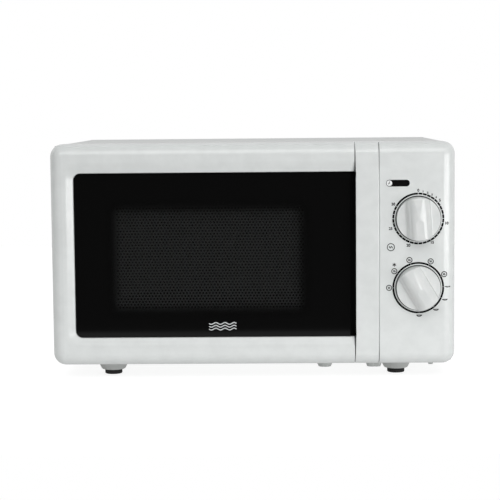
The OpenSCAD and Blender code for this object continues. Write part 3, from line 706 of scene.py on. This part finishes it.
def close_left_of_blocks(bm, left):
    """Fills the bar's left side above and below the grip."""
    for low, high in ((BOTTOM, GRIP_Z[0]), (GRIP_Z[1], TOP)):
        score(bm, (0, 0, high if low == BOTTOM else low), (0, 0, 1))
        edges = [e for e in bm.edges if e.is_boundary and all(
            abs(v.co.x - left) < NEAR and low - NEAR <= v.co.z <= high + NEAR
            for v in e.verts)]
        ends = loose_ends(edges)
        inner = min(ends, key=lambda v: v.co.y)
        outer = max(ends, key=lambda v: v.co.y)
        corner = bm.verts.new((left, outer.co.y, inner.co.z))
        edges += [bm.edges.new((inner, corner)), bm.edges.new((corner, outer))]
        bmesh.ops.holes_fill(bm, edges=edges)


def handle_bar():
    """The bowed bar with its pocket open to the left."""
    bm = bmesh.new()
    front_moulding(bm, DOOR_BACK)
    left = SEAM + 0.25 * MM
    right = handle_high.x + 0.35 * MM
    cut(bm, (right, 0, 0), (1, 0, 0), fill=True)
    cut(bm, (left, 0, 0), (-1, 0, 0))
    close_left_of_blocks(bm, left)
    for i in range(1, BOW_CUTS):
        score(bm, (0, 0, BOTTOM + (TOP - BOTTOM) * i / BOW_CUTS), (0, 0, 1))
    for v in bm.verts:
        share = min(max((FACE_Y + BOW_FADE - v.co.y) / BOW_FADE, 0), 1)
        v.co.y -= bow_at(v.co.z) * share
        if v.co.x < left + NEAR:
            v.co.x += WEDGE * min(1, bow_at(v.co.z) / BOW * 2.2)
        if v.co.x > right - NEAR:
            v.co.x += 0.4 * MM * share * min(1, bow_at(v.co.z) / BOW * 1.6)
    obj = plain_object(bm, "handle_bar")
    thicken(obj, HANDLE_WALL)
    return obj


handle = handle_bar()
soften(handle, 1.0 * MM)
dress(handle, white_abs, "door", ["door_handle"])

# %% [markdown]
# ## The control panel
# The last slice of the moulding. Two round wells are cut for the knobs. Each is lined by a
# dark lathed cup whose colour paints the shadow in the gap around the knob, so the gap reads as
# a black line, and a thin white ring stands proud of the panel around it.

# %% Control panel and wells
timer_low, timer_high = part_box("timer_knob")
power_low, power_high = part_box("power_knob")
KNOB_X = (timer_low.x + timer_high.x) / 2
TIMER_Z = (timer_low.z + timer_high.z) / 2
POWER_Z = (power_low.z + power_high.z) / 2
KNOB_R = (power_high.z - power_low.z) / 2
WELL_R = KNOB_R + 1 * MM
KNOB_PLACES = ((KNOB_X, TIMER_Z), (KNOB_X, POWER_Z))
PANEL_WALL = 2.2 * MM


def control_panel():
    """The panel's skin with two round holes."""
    bm = bmesh.new()
    front_moulding(bm, panel_high.y)
    cut(bm, (panel_low.x, 0, 0), (-1, 0, 0), fill=True)
    obj = plain_object(bm, "control_panel_moulding")
    thicken(obj, PANEL_WALL)
    soften(obj, 1.4 * MM, segments=4)
    r = WELL_R + 1 * MM
    for x, z in KNOB_PLACES:
        hole = bmesh.new()
        lathe(hole, [(0, -8 * MM), (r, -8 * MM), (r, 8 * MM), (0, 8 * MM)], (x, FACE_Y, z), "front",
              steps=96)
        carve(obj, hole)
    return obj


def knob_wells():
    """The two dark cups of painted shade that line the holes, and the raised white ring around
    each.
    """
    cups, rings = bmesh.new(), bmesh.new()
    lip = 0.7 * MM
    # painted shade: the cup's dark grey stands for the shadow in the gap around the knob
    cup = [(5 * MM, -5.5 * MM), (WELL_R, -5.5 * MM), (WELL_R, -0.2 * MM),
           (WELL_R + 0.95 * MM, -0.2 * MM), (WELL_R + 0.95 * MM, -7 * MM), (5 * MM, -7 * MM)]
    ring = [(WELL_R + 0.05 * MM, -0.1 * MM), (WELL_R + 0.05 * MM, lip - 0.4 * MM),
            (WELL_R + 0.35 * MM, lip), (WELL_R + 0.9 * MM, lip),
            (WELL_R + 1.25 * MM, lip - 0.4 * MM), (WELL_R + 1.25 * MM, -0.1 * MM)]
    for x, z in KNOB_PLACES:
        lathe(cups, cup, (x, FACE_Y, z), "front", steps=96, closed=True)
        lathe(rings, ring, (x, FACE_Y, z), "front", steps=96, closed=True)
    dress(plain_object(cups, "knob_wells"), grey_plastic_and_well_shade, "cabinet", sharp=50)
    dress(plain_object(rings, "knob_well_rings"), white_abs, "cabinet", sharp=50)


panel = control_panel()
dress(panel, white_abs, "cabinet", ["control_panel"])
knob_wells()

# %% [markdown]
# ## The knobs
# Each knob is a round disc with a ridge across it for the fingers. The ridge has a narrow flat
# top, and its flanks fall in a curve that grows steeper towards the disc, where a small fillet
# catches it. A drum is lathed, and the space beside the ridge is cut away on both sides by the
# flank's profile, drawn out along the ridge.

# %% Knobs
REACH = 18 * MM
DISC = 7 * MM
RIDGE_HALF = 4.3 * MM
FLANK_STEPS = 9
TIMER_TURN, POWER_TURN = -4, -31


def flank_profile():
    """Points (across, height) from the ridge's top edge down to the disc."""
    across, height = RIDGE_HALF, REACH
    points = [(across, REACH + 2 * MM), (across, height)]
    for i in range(FLANK_STEPS):
        step = 0.97 * MM
        slope = math.radians(20 + 47 * i / (FLANK_STEPS - 1))
        across += step
        height -= step * math.tan(slope)
        points.append((across, height))
    drop = height - DISC
    for i in range(1, 5):
        turn = math.radians(90 * i / 4)
        points.append((across + 1.6 * MM * (1 - math.cos(turn)), height - drop * math.sin(turn)))
    return points + [(30 * MM, DISC), (30 * MM, REACH + 2 * MM)]


def flank_cutter(side):
    """The space beside the ridge, on the left or on the right."""
    bm = bmesh.new()
    verts = [bm.verts.new((side * x, -h, -30 * MM)) for x, h in flank_profile()]
    face = bm.faces.new(verts)
    made = bmesh.ops.extrude_face_region(bm, geom=[face])["geom"]
    bmesh.ops.translate(bm, verts=[g for g in made if isinstance(g, bmesh.types.BMVert)],
                        vec=(0, 0, 60 * MM))
    return bm


def knob(name, x, z, turn, body, replaced):
    """A knob at rest, turned clockwise by some degrees."""
    bm = bmesh.new()
    r = KNOB_R
    lathe(bm, [(0, -3.4 * MM), (r, -3.4 * MM), (r, DISC - 1.4 * MM),
               (r - 0.4 * MM, REACH - 2.4 * MM), (r - 1.3 * MM, REACH - 0.7 * MM),
               (r - 3.2 * MM, REACH), (0, REACH)], (0, 0, 0), "front", steps=96)
    obj = plain_object(bm, name)
    for side in (-1, 1):
        carve(obj, flank_cutter(side))
    soften(obj, 0.8 * MM, angle=32, segments=4)
    obj.data.transform(Matrix.Translation((x, FACE_Y, z))
                       @ Matrix.Rotation(math.radians(turn), 4, "Y"))
    dress(obj, knob_abs, body, replaced)


knob("timer_knob_cap", KNOB_X, TIMER_Z, TIMER_TURN, "timer", ["timer_knob"])
knob("power_knob_cap", KNOB_X, POWER_Z, POWER_TURN, "power", ["power_knob"])
print("flank: %d points" % len(flank_profile()))

# %% [markdown]
# ## The window pane and the finger scoop
# The pane is one flat face with its left corners rounded. At its right it dives behind the
# handle bar as a scoop: a strip drawn from the pane's edge by two extrusions, with an end wall
# above and below.

# %% Window pane
SCOOP_Y = pane_high.y - 2.5 * MM
SCOOP_RUN = 11 * MM
PANE_WALL = 2.2 * MM


def window_pane():
    """The skin of the black pane, with the scoop under the handle."""
    bm = bmesh.new()
    edge_x = SEAM - 5 * MM
    rounded_face(bm, (pane_low.x, edge_x), (pane_low.z, pane_high.z), PANE_Y, WINDOW_R + LIP,
                 left_only=True)
    low, high = GRIP_Z
    for z in (low, high):
        score(bm, (0, 0, z), (0, 0, 1))
    edge = next(e for e in bm.edges if all(
        abs(v.co.x - edge_x) < NEAR and low - NEAR < v.co.z < high + NEAR
        for v in e.verts))
    ends = {round(v.co.z, 6): [v] for v in edge.verts}
    for step in ((SCOOP_RUN, SCOOP_Y - PANE_Y, 0), (pane_high.x - edge_x - SCOOP_RUN, 0, 0),
                 (0, PANE_Y - SCOOP_Y, 0)):
        verts, (edge,) = draw_out(bm, [edge], step)
        for v in verts:
            ends[min(ends, key=lambda z: abs(z - v.co.z))].append(v)
    for chain in ends.values():
        bm.faces.new(chain)
    bend = [e for e in bm.edges if abs(e.verts[0].co.y - SCOOP_Y) < NEAR
            and abs(e.verts[1].co.y - SCOOP_Y) < NEAR and e.calc_length() > 0.1]
    bmesh.ops.bevel(bm, geom=bend, offset=3 * MM, affect="EDGES", segments=5, profile=0.5,
                    material=-1)
    return plain_object(bm, "window_pane", clean=False)


pane = window_pane()
thicken(pane, PANE_WALL)
dress(pane, pane_acrylic, "door", ["door_window"], sharp=30)

# %% [markdown]
# ## The perforated screen
# Behind the window the door's steel plate is perforated, which keeps the microwaves in and
# lets the light out. The holes lie in rows, each shifted by half a pitch. Bevelling every
# vertex of a triangular grid gives just that: each vertex opens into a small hexagon, which is
# then deleted. The real holes are about 2 mm apart, and are drawn 3.6 mm apart so that they
# show. The plate around them has a wall and a flange at its rim: the microwave choke.

# %% Perforated plate
PITCH_X = 3.6 * MM
HOLE_R = 1.25 * MM
FLANGE = 4 * MM
SHEET = 0.6 * MM


def perforated_field(bm, x, z, y):
    """A sheet of hexagonal holes in shifted rows."""
    row = PITCH_X * math.sqrt(3) / 2
    columns = round((x[1] - x[0]) / PITCH_X)
    rows = round((z[1] - z[0]) / row)
    grid = bmesh.ops.create_grid(bm, x_segments=columns, y_segments=rows, size=0.5)["verts"]
    bmesh.ops.scale(bm, vec=(columns * PITCH_X, rows * row, 1), verts=grid)
    low = min(v.co.y for v in grid)
    for v in grid:
        if round((v.co.y - low) / row) % 2:
            v.co.x += PITCH_X / 2
    bmesh.ops.triangulate(bm, faces=bm.faces[:], quad_method="SHORT_EDGE")
    inner = [v for v in bm.verts if not v.is_boundary]
    holes = bmesh.ops.bevel(bm, geom=inner, offset=HOLE_R, affect="VERTICES", segments=1,
                            profile=0.5, material=-1)["faces"]
    bmesh.ops.delete(bm, geom=holes, context="FACES_ONLY")
    place = Matrix.Translation(((x[0] + x[1]) / 2, y, (z[0] + z[1]) / 2))
    bmesh.ops.transform(bm, verts=bm.verts, matrix=place @ Matrix.Rotation(math.pi / 2, 4, "X"))


def choke_plate(bm, x, z, hole_x, hole_z, y):
    """The plain part of the plate, with its rim wall and its flange."""
    outer = rounded_face(bm, x, z, y)
    hole = rounded_face(bm, hole_x, hole_z, y)
    rim = list(outer.edges)
    inside = list(hole.edges)
    bmesh.ops.delete(bm, geom=[outer, hole], context="FACES_ONLY")
    bmesh.ops.bridge_loops(bm, edges=rim + inside)
    back = draw_out(bm, rim, (0, plate_high.y - y, 0))[1]
    middle = Vector(((x[0] + x[1]) / 2, plate_high.y, (z[0] + z[1]) / 2))
    for v in draw_out(bm, back, (0, 0, 0))[0]:
        side = v.co - middle
        v.co -= Vector((math.copysign(FLANGE, side.x), 0, math.copysign(FLANGE, side.z)))


def door_screen():
    """The steel plate of the door, perforated behind the window."""
    bm = bmesh.new()
    perforated_field(bm, SCREEN_X, SCREEN_Z, plate_low.y)
    row_shift = PITCH_X / 2
    choke_plate(bm, (plate_low.x, plate_high.x), (plate_low.z, plate_high.z),
                (SCREEN_X[0] + row_shift, SCREEN_X[1]), (SCREEN_Z[0] + MM, SCREEN_Z[1] - MM),
                plate_low.y)
    obj = plain_object(bm, "door_screen", clean=False)
    modify(obj, "SOLIDIFY", thickness=SHEET, offset=-1)
    return obj


screen = door_screen()
dress(screen, screen_paint, "door", ["door_plate"], sharp=30)

# %% [markdown]
# ## Printing on the panel
# The scales are thin shapes just proud of the panel. Angles run clockwise from the top, as on
# a clock. A band of a ring is an edge spun about the knob's axis. Every printed shape gets its
# thickness at the end, after it is bent with the rolled edge at the panel's right.

# %% Print helpers
INK = 0.12 * MM


def polar(x, z, radius, degrees):
    """A point at a clockwise angle from the top, on the panel's face."""
    a = math.radians(degrees)
    return Vector((x + radius * math.sin(a), FACE_Y, z + radius * math.cos(a)))


def band(bm, x, z, inner, outer, start, end):
    """A band of a ring between two radii and two clockwise angles."""
    verts = [bm.verts.new(polar(x, z, r, start)) for r in (inner, outer)]
    edge = bm.edges.new(verts)
    steps = max(2, round(abs(end - start) / 5))
    full = abs(end - start) >= 360
    bmesh.ops.spin(bm, geom=verts + [edge], cent=(x, FACE_Y, z), axis=(0, 1, 0),
                   angle=math.radians(end - start), steps=steps, use_merge=full)


def stroke(bm, points, width, y=FACE_Y):
    """A flat line of some width through points given as (x, z)."""
    sides = []
    for i, (x, z) in enumerate(points):
        before = points[max(i - 1, 0)]
        after = points[min(i + 1, len(points) - 1)]
        across = Vector((before[1] - after[1], after[0] - before[0])).normalized() * width / 2
        sides.append([bm.verts.new((x + s * across.x, y, z + s * across.y)) for s in (1, -1)])
    for (a, b), (c, d) in zip(sides, sides[1:]):
        bm.faces.new((a, b, d, c))


def disc(bm, x, z, radius, y):
    """A filled printed disc."""
    made = bmesh.ops.create_circle(bm, cap_ends=True, segments=32, radius=radius)["verts"]
    bmesh.ops.transform(bm, verts=made, matrix=Matrix.Translation((x, y, z))
                        @ Matrix.Rotation(math.pi / 2, 4, "X"))


def face_front(bm):
    """Turns every flat printed face towards the front."""
    bmesh.ops.remove_doubles(bm, verts=bm.verts, dist=0.002 * MM)
    bmesh.ops.reverse_faces(bm, faces=[f for f in bm.faces if f.normal.y > 0])


def printed(bm, name, ink, body):
    """Gives a flat print its thickness and its ink."""
    bm.normal_update()
    face_front(bm)
    for i in range(3):
        score(bm, (RIGHT - ROLL + 2 * MM * i, 0, 0), (1, 0, 0))
    for v in bm.verts:
        over = v.co.x - (RIGHT - ROLL)
        if 0 < over < ROLL:
            v.co.y += ROLL - math.sqrt(ROLL ** 2 - over ** 2)
    obj = plain_object(bm, name, clean=False)
    modify(obj, "SOLIDIFY", thickness=INK, offset=1)
    dress(obj, ink, body)


print("print helpers ready")

# %% [markdown]
# The timer's ring is broken into thirty minutes of ten degrees, and solid from 30 round to 0.
# The power ring has a fine gap at each of its nine places, with a round oven sign or a bowl
# beside each.

# %% Rings and signs
RING_IN, RING_OUT = WELL_R + 1.3 * MM, WELL_R + 3.3 * MM
MINUTE = 10
ROUND_SIGNS = (-90, -55, -17.6, 25.2, 62.6)
BOWL_SIGNS = (88, 114, 141, 178)
BOWL_OUT = (7.2, 6.9, 5.8, 5.2)


def dial_rings():
    """Both broken rings around the knobs."""
    bm = bmesh.new()
    gap = 0.6
    for i in range(30):
        start = MINUTE * i
        band(bm, KNOB_X, TIMER_Z, RING_IN, RING_OUT, start + gap, start + MINUTE - gap)
    band(bm, KNOB_X, TIMER_Z, RING_IN, RING_OUT, 30 * MINUTE + gap, 360 - gap)
    places = sorted(a % 360 for a in ROUND_SIGNS + BOWL_SIGNS)
    for start, end in zip(places, places[1:] + [places[0] + 360]):
        band(bm, KNOB_X, POWER_Z, RING_IN, RING_OUT, start + gap / 2, end - gap / 2)
    printed(bm, "dial_rings", black_ink, "cabinet")


def round_sign(bm, x, z, radius):
    """A small ring around three short waves."""
    band(bm, x, z, radius - 0.85 * MM, radius, 0, 360)
    for i in (-1, 0, 1):
        wave = [(x + i * 0.9 * MM + 0.25 * MM * math.sin(k * math.pi / 2),
                 z + (k - 2) * 0.55 * MM) for k in range(5)]
        stroke(bm, wave, 0.6 * MM)


def bowl_sign(bm, x, z, fill):
    """A shallow bowl with a rim line, the fuller the more it holds."""
    w = 3.1 * MM
    stroke(bm, [(x - w, z), (x + w, z)], 0.7 * MM)
    depth = (0.9 + 0.5 * fill) * MM
    curve = [(x + w * 0.8 * math.cos(a), z - depth * math.sin(a))
             for a in [math.pi * k / 8 for k in range(9)]]
    stroke(bm, curve, (0.4 + 0.5 * fill) * MM)


def power_signs():
    """The nine signs around the power knob, and the frost star at the second."""
    bm = bmesh.new()
    for angle in ROUND_SIGNS:
        at = polar(KNOB_X, POWER_Z, WELL_R + 6.9 * MM, angle)
        round_sign(bm, at.x, at.z, 3.25 * MM)
    for i, (angle, out) in enumerate(zip(BOWL_SIGNS, BOWL_OUT)):
        at = polar(KNOB_X, POWER_Z, WELL_R + out * MM, angle)
        bowl_sign(bm, at.x, at.z, i / 3)
    star = polar(KNOB_X, POWER_Z, WELL_R + 6.9 * MM, ROUND_SIGNS[1]) + Vector((0, 0, 7 * MM))
    for i in range(3):
        tip = Vector((math.sin(math.pi * i / 3), math.cos(math.pi * i / 3))) * 2.1 * MM
        stroke(bm, [(star.x - tip.x, star.z - tip.y), (star.x + tip.x, star.z + tip.y)], 0.7 * MM)
    printed(bm, "power_signs", black_ink, "cabinet")


dial_rings()
power_signs()
print("rings: radius %.1f to %.1f mm" % (RING_IN / MM, RING_OUT / MM))

# %% [markdown]
# The numbers are text objects in Blender's own font, turned into meshes before they are placed.
# The pill above the timer holds a white clock face and no word.

# %% Numbers and the timer's label
def text_shape(words, size, x, z, y):
    """Flat text as a bmesh, centred at a point of the front."""
    curve = bpy.data.curves.new("words", "FONT")
    curve.body = words
    curve.size = size
    curve.offset = 0.15 * MM
    curve.align_x = "CENTER"
    curve.align_y = "CENTER"
    holder = bpy.data.objects.new("words", curve)
    bpy.context.scene.collection.objects.link(holder)
    bpy.context.view_layer.update()
    mesh = bpy.data.meshes.new_from_object(
        holder.evaluated_get(bpy.context.evaluated_depsgraph_get()))
    bpy.data.objects.remove(holder)
    mesh.transform(Matrix.Translation((x, y, z)) @ Matrix.Rotation(math.pi / 2, 4, "X"))
    return mesh


NUMBER_OUT = {0: 5.7, 1: 4.9, 2: 4.9, 3: 4.9, 4: 5.1, 5: 5.6, 10: 6.3, 15: 5.4, 20: 6.3, 25: 7,
              30: 6.5}


def timer_numbers():
    """The timer's scale: 0 to 5, then every five minutes."""
    bm = bmesh.new()
    for minute, out in NUMBER_OUT.items():
        small = 1 <= minute <= 4
        at = polar(KNOB_X, TIMER_Z, WELL_R + out * MM, MINUTE * minute)
        bm.from_mesh(text_shape(str(minute), (2.8 if small else 4.1) * MM, at.x, at.z, FACE_Y))
    printed(bm, "timer_numbers", black_ink, "cabinet")


def timer_label():
    """A black pill with a white clock face at its left end."""
    x, z = KNOB_X - 21.95 * MM, TIMER_Z + 38.4 * MM
    half, r = 9.2 * MM, 3.6 * MM
    pill = bmesh.new()
    rounded_face(pill, (x - half - r, x + half + r), (z - r, z + r), FACE_Y, r * 0.99)
    printed(pill, "label_pill", black_ink, "cabinet")
    face = bmesh.new()
    disc(face, x - half, z, r * 0.86, FACE_Y - INK)
    printed(face, "label_clock", white_ink, "cabinet")
    hands = bmesh.new()
    stroke(hands, [(x - half, z + 1.9 * MM), (x - half, z), (x - half - 1.3 * MM, z - 0.9 * MM)],
           0.7 * MM, FACE_Y - 2 * INK)
    printed(hands, "label_hands", black_ink, "cabinet")


def start_sign():
    """A round sign between the knobs: a ring around a short wave."""
    bm = bmesh.new()
    x, z = KNOB_X - 29.6 * MM, TIMER_Z - 30.9 * MM
    band(bm, x, z, 3.45 * MM, 4.3 * MM, 0, 360)
    wave = [(x + k * 0.55 * MM, z + 1.1 * MM * math.sin(k * math.pi / 2.4)) for k in range(-4, 5)]
    stroke(bm, wave, 0.85 * MM)
    printed(bm, "start_sign", grey_ink, "cabinet")


timer_numbers()
timer_label()
start_sign()

# %% [markdown]
# ## The mark on the window
# A plain sign of three waves stands low on the pane, where such ovens carry a name. It means
# heat, and belongs to nobody.

# %% Wave mark
def wave_mark():
    """Three level waves side by side, one over the other."""
    bm = bmesh.new()
    x, z = WINDOW_LEFT + 161 * MM, WINDOW_LOW + 11.8 * MM
    for row in (-1, 0, 1):
        wave = [(x + k * 1.0 * MM, z + row * 3.1 * MM + 1.0 * MM * math.sin(k * math.pi / 5))
                for k in range(-15, 16)]
        stroke(bm, wave, 1.1 * MM, PANE_Y)
    printed(bm, "wave_mark", pale_ink, "door")


wave_mark()

# %% [markdown]
# ## The feet
# Each foot is a light grey moulded cup with a black rubber pad pressed into it. Both are
# lathed, with small steps and rounded rims.

# %% Feet
pads_low, pads_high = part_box("foot_pads")
PAD_R = 9.7 * MM
PAD_H = 5.3 * MM
FOOT_PLACES = [(x, y) for x in (pads_low.x + PAD_R, pads_high.x - PAD_R)
               for y in (pads_low.y + PAD_R, pads_high.y - PAD_R)]


def feet():
    """Four cups and four pads."""
    cups, pads = bmesh.new(), bmesh.new()
    top = BOTTOM
    for x, y in FOOT_PLACES:
        lathe(cups, [(0, PAD_H + 3.2 * MM), (8.1 * MM, PAD_H + 3.2 * MM),
                     (8.3 * MM, PAD_H + 0.3 * MM), (8.8 * MM, PAD_H), (12.6 * MM, PAD_H),
                     (13.5 * MM, PAD_H + 0.8 * MM), (17.2 * MM, top - 3 * MM),
                     (18.2 * MM, top - 1 * MM), (18.4 * MM, top), (0, top)], (x, y, 0), steps=48)
        lathe(pads, [(0, 0), (8.8 * MM, 0), (PAD_R - 0.3 * MM, 0.3 * MM), (PAD_R, 1.1 * MM),
                     (PAD_R, PAD_H - 0.7 * MM), (PAD_R - 0.5 * MM, PAD_H - 0.1 * MM),
                     (7.8 * MM, PAD_H - 0.1 * MM), (7.8 * MM, PAD_H + 2.9 * MM),
                     (0, PAD_H + 2.9 * MM)], (x, y, 0), steps=48)
    dress(plain_object(cups, "foot_cup_mouldings"), foot_plastic, "cabinet",
          ["foot_cups"], sharp=30)
    dress(plain_object(pads, "foot_rubber_pads"), rubber, "cabinet",
          ["foot_pads"], sharp=30)


feet()
